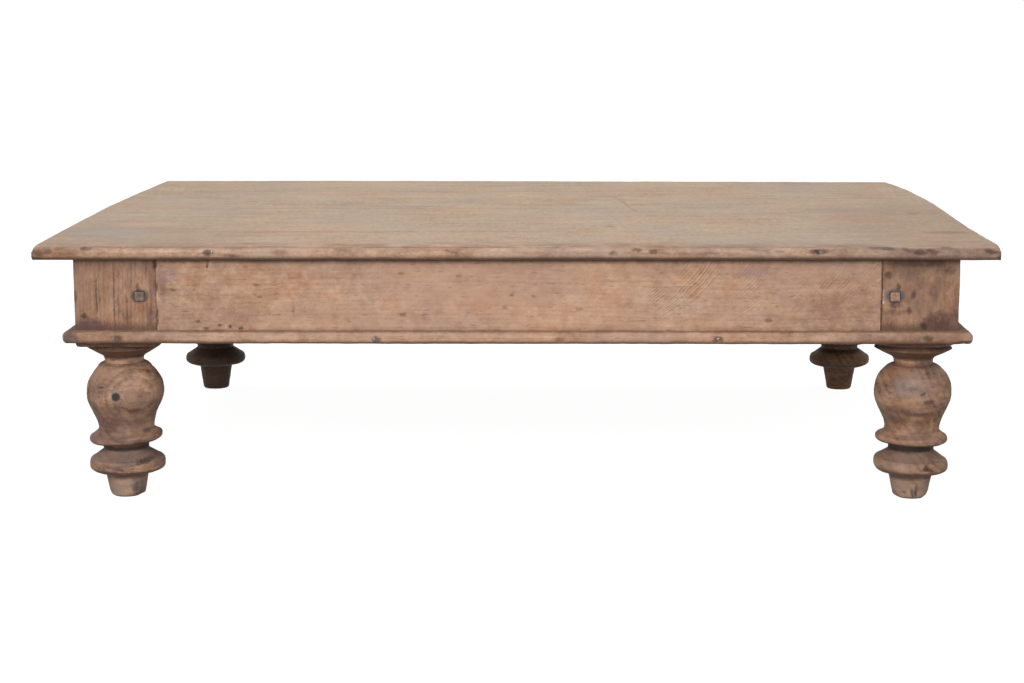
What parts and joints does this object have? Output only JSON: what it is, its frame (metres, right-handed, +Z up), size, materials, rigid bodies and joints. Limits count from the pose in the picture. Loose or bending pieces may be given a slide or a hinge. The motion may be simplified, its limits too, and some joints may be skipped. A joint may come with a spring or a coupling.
{
  "type": "coffee table",
  "caption": "Low rectangular coffee table in worn teak: plank top with a rounded edge, deep pegged frame with a nailed moulding, and thick turned legs with a ball, a ring and a disc.",
  "frame": {"origin": "on the floor under the middle of the table top", "axes": "+X along the length to the right seen from the front, +Y to the back, +Z up"},
  "size_m": [1.5, 1.08, 0.41],
  "materials": {
    "top_boards": "bare old teak, worn and slightly greyed, matt",
    "aprons": "bare old teak, warm brown, saw marks and rust streaks, matt",
    "mouldings": "bare old teak, worn arrises with dark dirt, matt",
    "turned_legs": "old teak, darker, dirt in the grooves, satin where handled",
    "battens": "rough sawn teak, never finished",
    "pegs": "end grain teak, dark and polished by wear",
    "iron": "hand-driven iron nails and screws, grey and lightly rusted"
  },
  "bodies": {
    "root": {"leg_front_left": "turned_legs", "leg_front_right": "turned_legs", "leg_back_right": "turned_legs", "leg_back_left": "turned_legs", "apron_front": "aprons", "apron_right": "aprons", "apron_back": "aprons", "apron_left": "aprons", "moulding_front": "mouldings", "moulding_right": "mouldings", "moulding_back": "mouldings", "moulding_left": "mouldings", "top_board_front": "top_boards", "top_board_second": "top_boards", "top_board_third": "top_boards", "top_board_back": "top_boards", "batten_left": "battens", "batten_middle": "battens", "batten_right": "battens", "peg_front_left": "pegs", "peg_front_right": "pegs", "peg_right_front": "pegs", "peg_right_back": "pegs", "peg_back_right": "pegs", "peg_back_left": "pegs", "peg_left_back": "pegs", "peg_left_front": "pegs", "moulding_nails_front": "iron", "moulding_nails_right": "iron", "moulding_nails_back": "iron", "moulding_nails_left": "iron", "edge_nails": "iron", "batten_screws": "iron", "batten_end_screws": "iron"}
  },
  "joints": []
}
